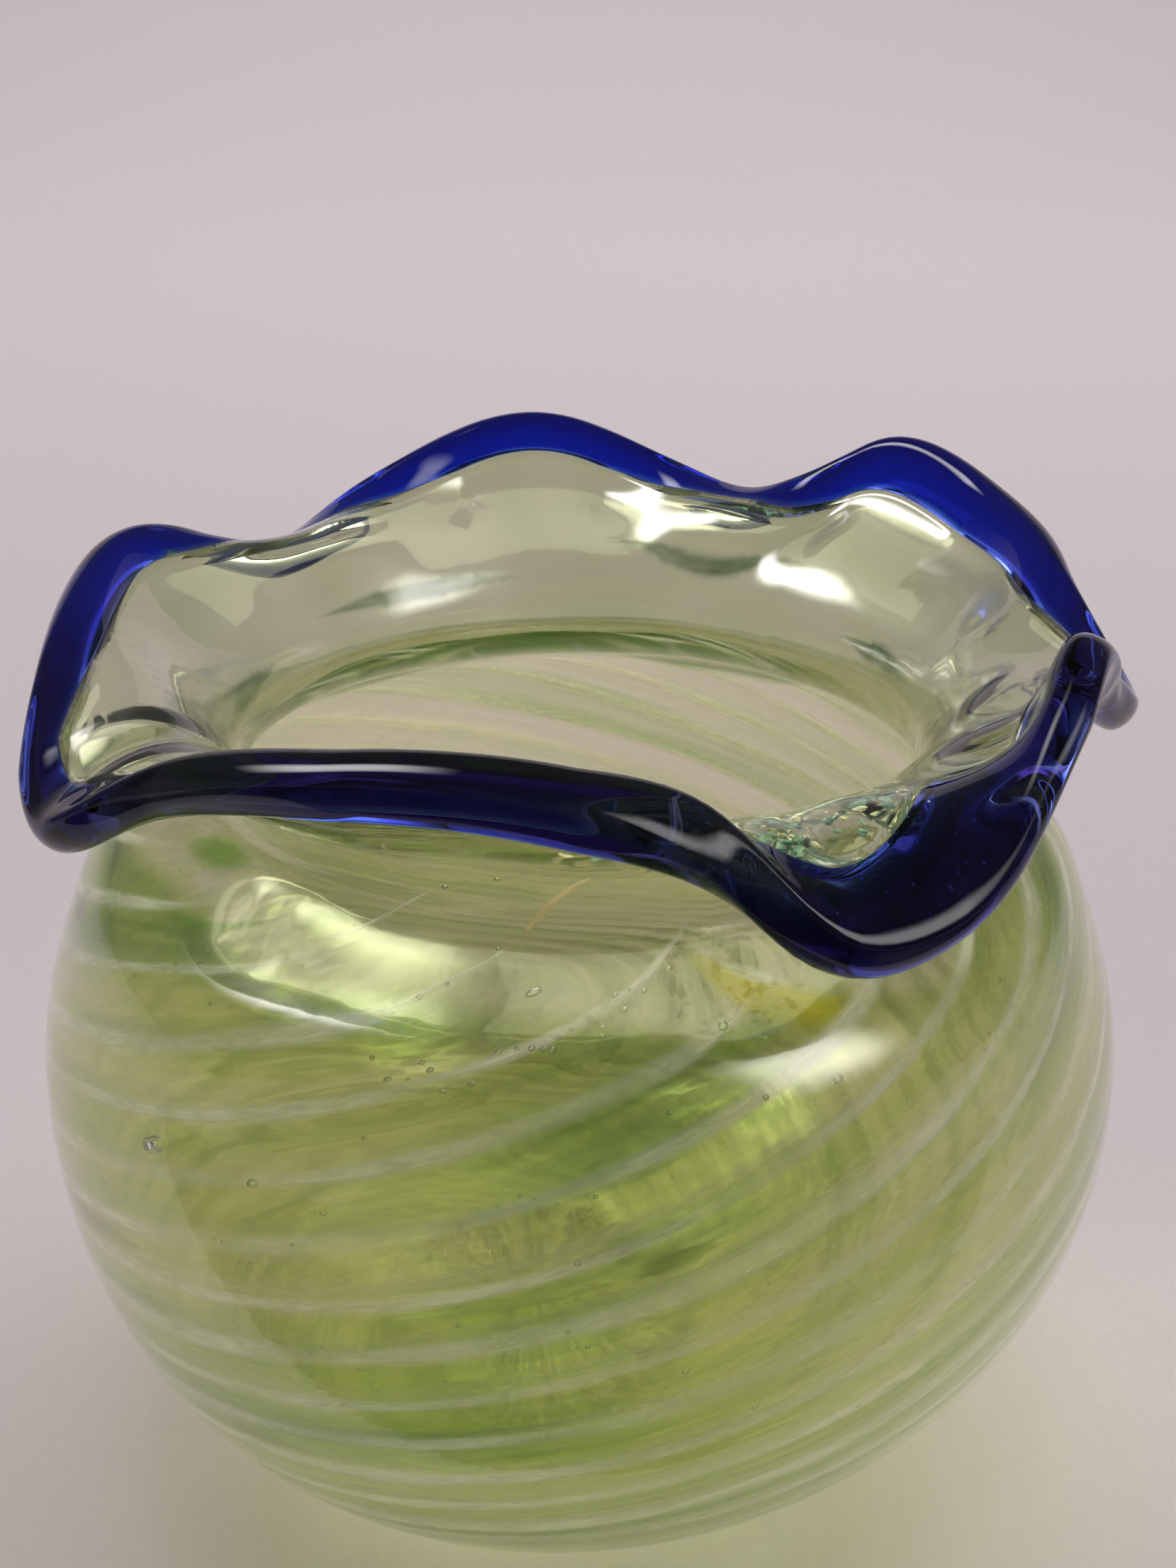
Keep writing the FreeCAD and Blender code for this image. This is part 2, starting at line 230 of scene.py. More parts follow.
def body_stations():
    stations = []
    lowest = math.asin(EQUATOR_HEIGHT / LOWER_DEPTH)
    for step in (1.0, 0.8, 0.55, 0.27, 0.0):
        angle = lowest * step
        stations.append((BODY_RADIUS * math.cos(angle), EQUATOR_HEIGHT - LOWER_DEPTH * math.sin(angle)))
    power = 2.0 / UPPER_FULLNESS
    highest = math.acos((SHOULDER_RADIUS / BODY_RADIUS) ** (1.0 / power))
    for step in (0.35, 0.7, 1.0):
        angle = highest * step
        stations.append(
            (BODY_RADIUS * math.cos(angle) ** power, EQUATOR_HEIGHT + UPPER_RISE * math.sin(angle) ** power)
        )
    return stations


def near(azimuths, centre, reach):
    """1 at an azimuth given in degrees, falling smoothly to 0 away from it."""
    off = (np.degrees(azimuths) - centre + 180.0) % 360.0 - 180.0
    return np.exp(-(off / reach) ** 2)


class Wall:
    """The bowl's wall as one section curve for every azimuth."""

    def __init__(self):
        self.azimuths = np.linspace(0, 2 * math.pi, COLUMNS, endpoint=False)
        radii, heights = rim_line(self.azimuths)
        self.curves = []
        for radius, height in zip(radii, heights):
            self.curves.append(self.section(radius, height))
        self.lengths = np.array([curve[0][-1] for curve in self.curves])
        self.wraps = np.full(COLUMNS, WRAP_HEIGHT)
        self.bulges = np.full(COLUMNS, WRAP_OUTSIDE)
        for centre, reach, extra_height, extra_bulge in WRAP_SWELLS:
            swell = near(self.azimuths, centre, reach)
            self.wraps += swell * extra_height
            self.bulges += swell * extra_bulge
        self.reach = self.lengths - self.wraps - RING_GAP

    def section(self, rim_radius, rim_height):
        """Distance along, radius, height and outward normal of one section curve."""
        share = min(1.0, max(0.0, (rim_height - LOW_RIM) / (HIGH_RIM - LOW_RIM)))
        slope = math.radians(DROOP + (STEEP_FLARE - DROOP) * share)
        crest = (rim_radius - FLARE_LENGTH * math.cos(slope), rim_height - FLARE_LENGTH * math.sin(slope))
        stations = body_stations() + [
            (NECK_RADIUS, NECK_HEIGHT), (COLLAR_RADIUS, COLLAR_HEIGHT), crest, (rim_radius, rim_height)
        ]
        stations = np.array(stations)
        knots = chord_knots(stations)
        line = cubic(knots, stations, np.linspace(0, knots[-1], CURVE_POINTS))
        along = chord_knots(line)
        tangent = np.gradient(line, along, axis=0)
        tangent /= np.linalg.norm(tangent, axis=1)[:, None]
        return along, line[:, 0], line[:, 1], tangent[:, 1], -tangent[:, 0]

    def ring_at(self, distances, depths):
        """A ring of points at a distance along each section and a depth into the glass."""
        ring = np.zeros((COLUMNS, 3))
        for index, (along, radius, height, out, up) in enumerate(self.curves):
            distance = distances[index]
            r = np.interp(distance, along, radius)
            z = np.interp(distance, along, height)
            r_in = r - depths[index] * np.interp(distance, along, out)
            z_in = z - depths[index] * np.interp(distance, along, up)
            turn = self.azimuths[index]
            ring[index] = (r_in * math.sin(turn) + lean(z), -r_in * math.cos(turn), z_in)
        return ring

    def row(self, distances, depth_of):
        """A ring of points at the depth that a rule gives for each place on the wall."""
        depths = np.zeros(COLUMNS)
        for index, (along, _, height, _, _) in enumerate(self.curves):
            z = np.interp(distances[index], along, height)
            base = max(0.0, 1.0 - z / BASE_BLEND) ** 2
            wall_length = self.lengths[index] - self.wraps[index]
            depths[index] = depth_of(distances[index] / wall_length, base)
        return self.ring_at(distances, depths)

    def wall_row(self, share, depth_of):
        return self.row(share * self.reach, depth_of)

    def wrap_row(self, share, depths):
        """A ring on the lip wrap: share of its height, a depth for every azimuth."""
        inside = min(share, 1.0)
        ring = self.ring_at(self.lengths - self.wraps * (1.0 - inside), depths)
        if share > 1.0:
            below = self.ring_at(self.lengths - 1.0, depths)
            ring = ring + (ring - below) * ((share - 1.0) * WRAP_HEIGHT)
        return ring


def taper(share):
    done = max(0.0, share - TAPER_START) / (1.0 - TAPER_START)
    return 0.5 + 0.5 * math.cos(math.pi * min(1.0, done))


def face_depth(share, base):
    return 0.0


def wall_depth(share, base):
    return RIM_WALL + (WALL - RIM_WALL) * taper(share) + (CASING_BASE + INNER_BASE) * base


def thread_depth(share, base):
    middle = RIM_WALL / 2
    return middle + (CASING + THREAD_LAYER / 2 - middle) * taper(share) + CASING_BASE * base


def overlay_outer_depth(share, base):
    return CASING + THREAD_LAYER + CASING_BASE * base


def overlay_inner_depth(share, base):
    return CASING + THREAD_LAYER + OVERLAY + CASING_BASE * base


# ---------------------------------------------------------------- meshes
def disc_rows(ring, rows):
    """Rings that close a flat end towards its middle, and the middle point."""
    middle = ring.mean(axis=0)
    return [middle + (ring - middle) * (1.0 - step / rows) for step in range(1, rows)], middle


def ring_mesh(name, rows, start=None, end=None, closed_section=False):
    """A mesh of quads on rings of points, with a fan at each end that has a middle point."""
    rows = [np.asarray(row) for row in rows]
    count = len(rows[0])
    points = [tuple(point * MM) for row in rows for point in row]
    faces = []
    pairs = len(rows) if closed_section else len(rows) - 1
    for row in range(pairs):
        low = row * count
        high = (row + 1) % len(rows) * count
        for column in range(count):
            nxt = (column + 1) % count
            faces.append((low + column, low + nxt, high + nxt, high + column))
    if start is not None:
        points.append(tuple(start * MM))
        for column in range(count):
            faces.append((len(points) - 1, (column + 1) % count, column))
    if end is not None:
        points.append(tuple(end * MM))
        last = (len(rows) - 1) * count
        for column in range(count):
            faces.append((len(points) - 1, last + column, last + (column + 1) % count))
    mesh = bpy.data.meshes.new(name)
    mesh.from_pydata(points, [], faces)
    mesh.validate()
    mesh.polygons.foreach_set("use_smooth", [True] * len(mesh.polygons))
    piece = bpy.data.objects.new(name, mesh)
    bpy.context.scene.collection.objects.link(piece)
    face_outward(piece)
    return piece


def face_outward(piece):
    """Turns the faces so that the mesh's volume is positive."""
    work = bmesh.new()
    work.from_mesh(piece.data)
    if work.calc_volume(signed=True) < 0:
        bmesh.ops.reverse_faces(work, faces=work.faces)
    work.to_mesh(piece.data)
    work.free()


def give_values(piece, name, values):
    attribute = piece.data.attributes.new(name, "FLOAT", "POINT")
    attribute.data.foreach_set("value", np.asarray(values, np.float32))


def give_vectors(piece, name, vectors):
    attribute = piece.data.attributes.new(name, "FLOAT_VECTOR", "POINT")
    attribute.data.foreach_set("vector", np.asarray(vectors, np.float32).ravel())


def swirl_turn(distance):
    """How far the swirl has turned, in radians, at a distance up the outer face."""
    progress = np.clip((THREAD_TOP - np.asarray(distance)) / (THREAD_TOP - THREAD_FOOT), 0.0, 1.1)
    return 2 * math.pi * THREAD_TURNS * progress ** SWIRL_POWER


def patch(wall, distances, azimuth, distance, wide, high):
    """1 at a place on the wall, falling smoothly to 0 round it, for a ring of points."""
    return near(wall.azimuths, azimuth, wide) * np.exp(-((distances - distance) / high) ** 2)


def give_swirl(piece, wall, row_shares, extra):
    """Gives each point coordinates that follow the swirl, and the values that its colour depends on."""
    vectors = []
    shares = []
    bands = []
    tones = []
    olives = []
    for share in row_shares:
        distances = share * wall.reach
        tone = np.zeros(COLUMNS)
        for azimuth, distance, wide, high, amount in TONES:
            tone += amount * patch(wall, distances, azimuth, distance, wide, high)
        tones.extend(tone)
        olives.extend(patch(wall, distances, *SHOULDER_TONE))
        for turn, distance in zip(wall.azimuths + swirl_turn(distances), distances):
            vectors.append((math.cos(turn), math.sin(turn), distance / BAND_SCALE))
            shares.append(share)
            beside = turn - math.radians(FIRST_AZIMUTH - BAND_LAG)
            bands.append(max(0.0, math.cos(THREAD_COUNT * beside)) ** 2)
    for share in extra:
        vectors.append((0.0, 0.0, share))
        shares.append(share)
        bands.append(0.0)
    give_vectors(piece, "swirl", vectors)
    give_values(piece, "share", shares)
    give_values(piece, "band", bands)
    give_values(piece, "tone", tones + [0.0] * len(extra))
    give_values(piece, "olive", olives + [0.0] * len(extra))
    # the ring values carry the painted shade in the neck
    ring = sum(strength * near(wall.azimuths, azimuth, reach) for azimuth, reach, strength in NECK_SHADE_RING)
    ring = np.clip(NECK_SHADE_LEAST + ring, 0, 1)
    rich = np.clip(PALEST + near(wall.azimuths, *RICH_TONE), 0, 1)
    for name, values in (("ring", ring), ("rich", rich)):
        give_values(piece, name, np.concatenate([np.tile(values, len(row_shares)), np.zeros(len(extra))]))


# ---------------------------------------------------------------- materials
class Material:
    """A node material and short ways to add to it."""

    def __init__(self, name):
        self.material = bpy.data.materials.new(name)
        self.material.use_nodes = True
        self.nodes = self.material.node_tree.nodes
        self.links = self.material.node_tree.links
        self.nodes.clear()
        self.output = self.nodes.new("ShaderNodeOutputMaterial")

    def add(self, kind, **inputs):
        node = self.nodes.new("ShaderNode" + kind)
        for key, value in inputs.items():
            self.plug(value, node.inputs[key.replace("_", " ")])
        return node

    def plug(self, value, socket):
        """Links an output to a socket, or sets the socket to a plain value."""
        if isinstance(value, bpy.types.NodeSocket):
            self.links.new(value, socket)
        else:
            socket.default_value = value

    def attribute(self, name, output="Fac"):
        node = self.nodes.new("ShaderNodeAttribute")
        node.attribute_name = name
        return node.outputs[output]

    def noise(self, vector, scale, detail=3.0, roughness=0.5, distortion=0.0):
        node = self.add("TexNoise", Scale=scale, Detail=detail, Roughness=roughness, Distortion=distortion)
        self.links.new(vector, node.inputs["Vector"])
        return node.outputs["Fac"]

    def ramp(self, factor, stops):
        node = self.nodes.new("ShaderNodeValToRGB")
        self.links.new(factor, node.inputs["Fac"])
        elements = node.color_ramp.elements
        while len(elements) < len(stops):
            elements.new(0.5)
        for element, (place, colour) in zip(elements, stops):
            element.position = place
            element.color = colour if len(colour) == 4 else (*colour, 1.0)
        return node.outputs["Color"]

    def mix_colour(self, factor, first, second, blend="MIX"):
        node = self.nodes.new("ShaderNodeMix")
        node.data_type = "RGBA"
        node.blend_type = blend
        for socket, value in ((node.inputs[0], factor), (node.inputs[6], first), (node.inputs[7], second)):
            self.plug(value, socket)
        return node.outputs[2]

    def maths(self, kind, first, second=0.0):
        node = self.nodes.new("ShaderNodeMath")
        node.operation = kind
        for socket, value in zip(node.inputs, (first, second)):
            self.plug(value, socket)
        return node.outputs[0]

    def remap(self, value, low, high, to_low, to_high):
        node = self.nodes.new("ShaderNodeMapRange")
        node.interpolation_type = "SMOOTHSTEP"
        self.links.new(value, node.inputs["Value"])
        node.inputs["From Min"].default_value = low
        node.inputs["From Max"].default_value = high
        node.inputs["To Min"].default_value = to_low
        node.inputs["To Max"].default_value = to_high
        return node.outputs["Result"]

    def mix(self, factor, first, second):
        node = self.nodes.new("ShaderNodeMixShader")
        self.plug(factor, node.inputs[0])
        self.links.new(first, node.inputs[1])
        self.links.new(second, node.inputs[2])
        return node.outputs[0]

    def scatter(self, share, colour):
        """Milky glass: it lets light soak through and throws a share of it straight back."""
        through = self.add("BsdfTranslucent", Color=colour)
        return self.mix(share, through.outputs[0], self.add("BsdfDiffuse", Color=colour).outputs[0])

    def finish(self, shader):
        self.links.new(shader, self.output.inputs["Surface"])
        return self.material

    def place(self):
        return self.nodes.new("ShaderNodeTexCoord").outputs["Object"]

    def shadow_ray(self):
        return self.nodes.new("ShaderNodeLightPath").outputs["Is Shadow Ray"]

    def across_box(self, axis):
        """0 to 1 across the object's own box along an axis."""
        split = self.add("SeparateXYZ", Vector=self.nodes.new("ShaderNodeTexCoord").outputs["Generated"])
        return split.outputs[axis]


def let_light_through(m, glass, tint):
    """Shadow rays pass the glass as a tinted clear film, so the lamps light what is behind it."""
    clear = m.add("BsdfTransparent", Color=tint)
    return m.mix(m.shadow_ray(), glass, clear.outputs[0])


def clear_glass():
    """The clear casing and gather, faintly greenish, and more olive towards the mouth."""
    m = Material("clear_glass")
    place = m.place()
    share = m.attribute("share")
    cords = m.noise(m.attribute("swirl", "Vector"), 6.0, detail=2.0)
    surface = m.maths("ADD", m.noise(place, 55.0, detail=1.5), m.maths("MULTIPLY", cords, 0.5))
    bump = m.add("Bump", Strength=0.12, Distance=0.0012, Height=surface)
    body = m.ramp(cords, [(0.35, (0.965, 0.965, 0.90)), (0.7, (0.94, 0.955, 0.86))])
    patch = m.noise(place, 38.0, detail=2.0)
    mouth = m.ramp(patch, [(0.35, (0.54, 0.60, 0.35)), (0.7, (0.72, 0.75, 0.51))])
    tint = m.mix_colour(m.remap(share, 0.72, 0.84, 0.0, 1.0), body, mouth)
    glass = m.add("BsdfPrincipled", IOR=1.5, Roughness=0.03, Base_Color=tint, Normal=bump.outputs[0])
    glass.inputs["Transmission Weight"].default_value = 1.0
    glass.inputs["Coat Weight"].default_value = 0.8
    glass.inputs["Coat Roughness"].default_value = 0.2
    return m.finish(let_light_through(m, glass.outputs[0], (0.90, 0.895, 0.885, 1.0)))


def veil_glass():
    """The mottled yellow-green layer: tinted clear glass with milky bands in it."""
    m = Material("veil_glass")
    swirl = m.attribute("swirl", "Vector")
    share = m.attribute("share")
    band = m.attribute("band")
    broad = m.noise(swirl, 2.3, detail=3.0, roughness=0.55, distortion=0.5)
    fine = m.noise(swirl, 8.0, detail=4.0, roughness=0.6, distortion=0.8)
    drawn = m.add("Mapping", Vector=swirl, Scale=(1.0, 1.0, 0.22))
    lines = m.noise(drawn.outputs[0], 9.0, detail=2.0, roughness=0.5)
    cloud = m.maths("ADD", m.maths("MULTIPLY", broad, 0.70), m.maths("MULTIPLY", fine, 0.25))
    cloud = m.maths("ADD", cloud, m.maths("MULTIPLY", m.attribute("tone"), 0.13))
    green = m.ramp(cloud, [
        (0.30, (0.925, 0.945, 0.73)),
        (0.42, (0.875, 0.92, 0.64)),
        (0.52, (0.785, 0.87, 0.53)),
        (0.64, (0.47, 0.62, 0.29)),
    ])
    pale = m.ramp(cloud, [
        (0.34, (0.99, 0.965, 0.93)),
        (0.50, (0.98, 0.96, 0.89)),
        (0.63, (0.90, 0.92, 0.77)),
    ])
    green = m.mix_colour(m.attribute("rich"), pale, green)
    olive = m.mix_colour(1.0, green, (0.60, 0.65, 0.30, 1.0), "MULTIPLY")
    green = m.mix_colour(m.attribute("olive"), green, olive)
    # painted shade: the veil turns darker green in the neck, where its glass is seen edge-on
    rising = m.remap(share, 0.735, 0.765, 0.0, 1.0)
    neck_shade = m.maths("MULTIPLY", rising, m.remap(share, 0.775, 0.80, 1.0, 0.0))
    neck_shade = m.maths("MULTIPLY", neck_shade, m.attribute("ring"))
    green = m.mix_colour(neck_shade, green, (0.32, 0.50, 0.20, 1.0))
    fade = m.remap(share, 0.77, 0.80, 0.0, 1.0)
    tint = m.mix_colour(fade, green, (0.99, 0.99, 0.96, 1.0))
    shadow = m.shadow_ray()
    tint = m.mix_colour(shadow, tint, (0.88, 0.88, 0.84, 1.0))
    clear = m.add("BsdfTransparent", Color=tint)
    cream = m.ramp(cloud, [(0.35, (0.80, 0.75, 0.62)), (0.65, (0.50, 0.58, 0.36))])
    milk = m.scatter(0.45, cream)
    haze = m.maths("ADD", m.remap(fine, 0.35, 0.72, 0.05, 0.14), m.remap(lines, 0.45, 0.70, 0.0, 0.12))
    haze = m.maths("ADD", haze, m.maths("MULTIPLY", band, m.remap(broad, 0.3, 0.65, 0.10, 0.28)))
    haze = m.maths("MULTIPLY", haze, m.remap(share, 0.66, 0.80, 1.0, 0.12))
    haze = m.maths("MULTIPLY", haze, m.maths("SUBTRACT", 1.0, m.maths("MULTIPLY", shadow, 0.6)))
    return m.finish(m.mix(haze, clear.outputs[0], milk))


def thread_glass(name, colour, clear_tint, cover, fading=False):
    """Opal glass in a ribbon: densest along its middle, feathered at its edges and ends."""
    m = Material(name)
    across = m.attribute("across")
    along = m.attribute("along", "Vector")
    patchy = m.noise(along, 1.0, detail=3.0, roughness=0.6)
    feather = m.maths("POWER", m.remap(across, 0.0, 0.98, 1.0, 0.0), 1.4)
    ends = m.attribute("ends")
    density = m.maths("MULTIPLY", feather, m.remap(patchy, 0.3, 0.7, 0.35 * cover, cover))
    density = m.maths("MULTIPLY", density, ends)
    if fading:
        coming = m.remap(m.noise(along, 0.22, detail=1.0), 0.36, 0.58, 0.5, 1.0)
        density = m.maths("MULTIPLY", density, coming)
    bright = m.ramp(patchy, [(0.3, tuple(0.9 * part for part in colour)), (0.7, colour)])
    clear = m.add("BsdfTransparent", Color=m.mix_colour(density, (1.0, 1.0, 1.0, 1.0), clear_tint))
    return m.finish(m.mix(density, clear.outputs[0], m.scatter(0.5, bright)))


def cobalt_glass():
    """Cobalt glass, nearly black where the wrap is thicker and where painted shade darkens its front, with a
    teal line along its foot.
    """
    m = Material("cobalt_glass")
    foot = m.attribute("foot")
    thick_and_shaded = m.attribute("thick_and_shaded")
    cloud = m.noise(m.place(), 160.0, detail=2.0)
    edge = m.maths("ADD", foot, m.maths("MULTIPLY", m.maths("SUBTRACT", cloud, 0.5), 0.10))
    thin = m.ramp(edge, [
        (0.0, (0.30, 0.62, 0.66)),
        (0.06, (0.05, 0.20, 0.60)),
        (0.16, (0.006, 0.018, 0.42)),
        (0.60, (0.006, 0.012, 0.30)),
        (1.0, (0.012, 0.010, 0.12)),
    ])
    # the dark cobalt of the front: thicker glass with painted shade on top
    deep_and_shaded = m.ramp(edge, [
        (0.0, (0.22, 0.50, 0.58)),
        (0.04, (0.025, 0.12, 0.30)),
        (0.10, (0.006, 0.013, 0.14)),
        (0.3, (0.005, 0.004, 0.055)),
        (1.0, (0.010, 0.006, 0.05)),
    ])
    colour = m.mix_colour(thick_and_shaded, thin, deep_and_shaded)
    bump = m.add("Bump", Strength=0.06, Distance=0.001, Height=m.noise(m.place(), 70.0, detail=1.0))
    glass = m.add("BsdfPrincipled", IOR=1.34, Roughness=0.015, Base_Color=colour, Normal=bump.outputs[0])
    glass.inputs["Transmission Weight"].default_value = 1.0
    return m.finish(let_light_through(m, glass.outputs[0], (0.10, 0.12, 0.45, 1.0)))


def seed_glass():
    """Air in glass: the light bends the other way."""
    m = Material("seed_air")
    tint = m.ramp(m.noise(m.place(), 400.0), [(0.3, (0.97, 0.98, 0.94)), (0.7, (1.0, 1.0, 0.98))])
    glass = m.add("BsdfGlass", IOR=0.667, Roughness=0.0, Color=tint)
    return m.finish(let_light_through(m, glass.outputs[0], (1.0, 1.0, 1.0, 1.0)))


def speck_glass(name, low, high):
    """An opaque material that varies finely between two colours."""
    m = Material(name)
    colour = m.ramp(m.noise(m.place(), 900.0, detail=2.0), [(0.35, low), (0.65, high)])
    chip = m.add("BsdfPrincipled", Roughness=0.35, Base_Color=colour)
    return m.finish(chip.outputs[0])


def backdrop_paper():
    m = Material("backdrop_paper")
    speck = m.noise(m.place(), 900.0, detail=2.0)
    colour = m.ramp(speck, [(0.3, (0.60, 0.545, 0.565)), (0.7, (0.62, 0.565, 0.585))])
    paper = m.add("BsdfPrincipled", Roughness=0.85, Base_Color=colour)
    paper.inputs["Specular IOR Level"].default_value = 0.2
    return m.finish(paper.outputs[0])


# ---------------------------------------------------------------- the bowl
def dress(piece, material, slot, *nodes):
    piece.data.materials.append(material)
    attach(piece, "root")
    if nodes:
        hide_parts(*nodes)
    return piece


def wall_piece(wall, name, outer, inner, end):
    """A cup of glass between two depths, closed at the top edge, with flat floor and base."""
    shares = [end * step / (WALL_ROWS - 1) for step in range(WALL_ROWS)]
    outside = [wall.wall_row(share, outer) for share in shares]
    inside = [wall.wall_row(share, inner) for share in shares]
    under, under_middle = disc_rows(outside[0], BASE_ROWS)
    floor, floor_middle = disc_rows(inside[0], BASE_ROWS)
    rows = under[::-1] + outside + inside[::-1] + floor
    row_shares = [0.0] * len(under) + shares + shares[::-1] + [0.0] * len(floor)
    piece = ring_mesh(name, rows, start=under_middle, end=floor_middle)
    give_swirl(piece, wall, row_shares, [0.0, 0.0])
    return piece


def wrap_section(bulge):
    """Poles of the wrap's section: share of its height up from its foot, depth."""
    inside = RIM_WALL + WRAP_INSIDE
    outside = -bulge
    return [
        (0.0, RIM_WALL / 2), (0.0, RIM_WALL), (0.0, RIM_WALL), (0.25, inside), (0.6, inside),
        (0.96, inside), (1.12, (inside + outside) / 2), (0.96, outside), (0.6, outside),
        (0.22, outside), (0.0, 0.0), (0.0, 0.0),
    ]


def lip_piece(wall):
    """The lip wrap: rolled round on top and outwards, square where it meets the wall."""
    sections = [wrap_section(bulge) for bulge in wall.bulges]
    heights = [height for height, _ in sections[0]]
    poles = []
    for pole, height in enumerate(heights):
        poles.append(wall.wrap_row(height, [section[pole][1] for section in sections]))
    rows = []
    foot = []
    count = len(poles)
    for pole in range(count):
        near_poles = [(pole - 1) % count, pole, (pole + 1) % count, (pole + 2) % count]
        for step in range(WRAP_STEPS):
            t = step / WRAP_STEPS
            weights = [
                (1 - t) ** 3 / 6, (3 * t ** 3 - 6 * t * t + 4) / 6,
                (-3 * t ** 3 + 3 * t * t + 3 * t + 1) / 6, t ** 3 / 6,
            ]
            rows.append(sum(weight * poles[index] for weight, index in zip(weights, near_poles)))
            foot += [sum(weight * heights[index] for weight, index in zip(weights, near_poles))] * COLUMNS
    piece = ring_mesh("lip_bead", rows, closed_section=True)
    give_values(piece, "foot", foot)
    # where the wrap is painted darker: its thicker glass, and painted shade on its front
    thick_and_shaded = np.clip(sum(near(wall.azimuths, azimuth, reach) for azimuth, reach in THICK_AND_SHADED_COBALT), 0, 1)
    give_values(piece, "thick_and_shaded", np.tile(thick_and_shaded, len(rows)))
    return piece


class Layer:
    """The layer that the threads lie in, read at any distance up the wall and any azimuth."""

    def __init__(self, wall):
        self.wall = wall
        shares = np.linspace(0.0, 1.0, LAYER_ROWS)
        self.grid = np.array([wall.wall_row(share, thread_depth) for share in shares])

    def point(self, distance, azimuth):
        column = azimuth / (2 * math.pi) % 1.0 * COLUMNS
        left = int(column) % COLUMNS
        right = (left + 1) % COLUMNS
        over = column - int(column)
        reach = self.wall.reach[left] * (1 - over) + self.wall.reach[right] * over
        row = min(max(distance / reach, 0.0), 0.9999) * (LAYER_ROWS - 1)
        low = int(row)
        up = row - low
        first = self.grid[low, left] * (1 - over) + self.grid[low, right] * over
        second = self.grid[low + 1, left] * (1 - over) + self.grid[low + 1, right] * over
        return first * (1 - up) + second * up

    def normal(self, distance, azimuth):
        along = self.point(distance + 1.0, azimuth) - self.point(distance - 1.0, azimuth)
        around = self.point(distance, azimuth + 0.025) - self.point(distance, azimuth - 0.025)
        normal = np.cross(around, along)
        return normal / np.linalg.norm(normal)

    def distance_at(self, height, azimuth):
        """Distance up the wall at which the outer face first reaches a height."""
        along, _, heights, _, _ = self.wall.curves[round(azimuth / (2 * math.pi) * COLUMNS) % COLUMNS]
        return float(along[np.argmax(heights >= height)])


def swirl_place(start_azimuth, progress):
    distance = THREAD_TOP + (THREAD_FOOT - THREAD_TOP) * progress
    return math.radians(start_azimuth) - float(swirl_turn(distance)), distance


def smooth_places(places, steps):
    """Evenly spaced places on a smooth line through a few given in degrees and millimetres."""
    places = np.array([(math.radians(azimuth), distance) for azimuth, distance in places])
    return cubic(np.arange(len(places)), places, np.linspace(0, len(places) - 1, steps))


def trail_piece(layer, name, places, width, thickness, taper_share, seed):
    """A ribbon of glass along a line on the wall, its width a little uneven, narrowing at both ends."""
    dice = random.Random(seed)
    phases = [dice.uniform(0, 2 * math.pi) for _ in range(3)]
    rows, across, along, ends = [], [], [], []
    walked = 0.0
    steps = len(places)
    points = [layer.point(distance, azimuth) for azimuth, distance in places]
    for step, (azimuth, distance) in enumerate(places):
        fraction = step / (steps - 1)
        centre = points[step]
        normal = layer.normal(distance, azimuth)
        forward = points[min(step + 1, steps - 1)] - points[max(step - 1, 0)]
        side = np.cross(forward, normal)
        side /= np.linalg.norm(side)
        near_end = min(fraction, 1 - fraction)
        swell = math.sin(math.pi / 2 * min(1.0, near_end / taper_share))
        walked += float(np.linalg.norm(centre - points[max(step - 1, 0)]))
        uneven = 1.0 + 0.16 * math.sin(0.11 * walked + phases[0]) + 0.09 * math.sin(0.29 * walked + phases[1])
        drift = 0.2 * math.sin(0.07 * walked + phases[2])
        half = width / 2 * max(0.12, swell) * uneven
        row = []
        for corner in range(RIBBON_CORNERS):
            angle = 2 * math.pi * corner / RIBBON_CORNERS
            lift = thickness / 2 * math.sin(angle)
            row.append(centre + side * (half * math.cos(angle) + drift) + normal * lift)
            across.append(abs(math.cos(angle)))
            along.append((walked * 0.09, seed * 7.0, math.cos(angle) * 0.5))
            ends.append(min(1.0, 1.4 * near_end / taper_share))
        rows.append(np.array(row))
    piece = ring_mesh(name, rows, start=rows[0].mean(axis=0), end=rows[-1].mean(axis=0))
    give_values(piece, "across", across + [0.0, 0.0])
    give_vectors(piece, "along", along + [along[0], along[-1]])
    give_values(piece, "ends", ends + [0.0, 0.0])
    return piece


def lump(work, centre, radius, dice, forward, stretch, rough):
    """Adds a small round or ragged lump, drawn out along a direction."""
    made = bmesh.ops.create_icosphere(work, subdivisions=2, radius=radius)
    for vertex in made["verts"]:
        here = vertex.co * (1.0 + dice.uniform(-rough, rough))
        if forward is not None:
            here += forward * here.dot(forward) * (stretch - 1.0)
        vertex.co = (Vector(centre) + here) * MM


def lumps_piece(name, spots, dice, smooth=True, rough=0.0):
    """One mesh of many lumps: (centre, radius, direction, stretch) each."""
    work = bmesh.new()
    for centre, radius, forward, stretch in spots:
        lump(work, centre, radius, dice, forward, stretch, rough)
    mesh = bpy.data.meshes.new(name)
    work.to_mesh(mesh)
    work.free()
    mesh.polygons.foreach_set("use_smooth", [smooth] * len(mesh.polygons))
    piece = bpy.data.objects.new(name, mesh)
    bpy.context.scene.collection.objects.link(piece)
    return piece


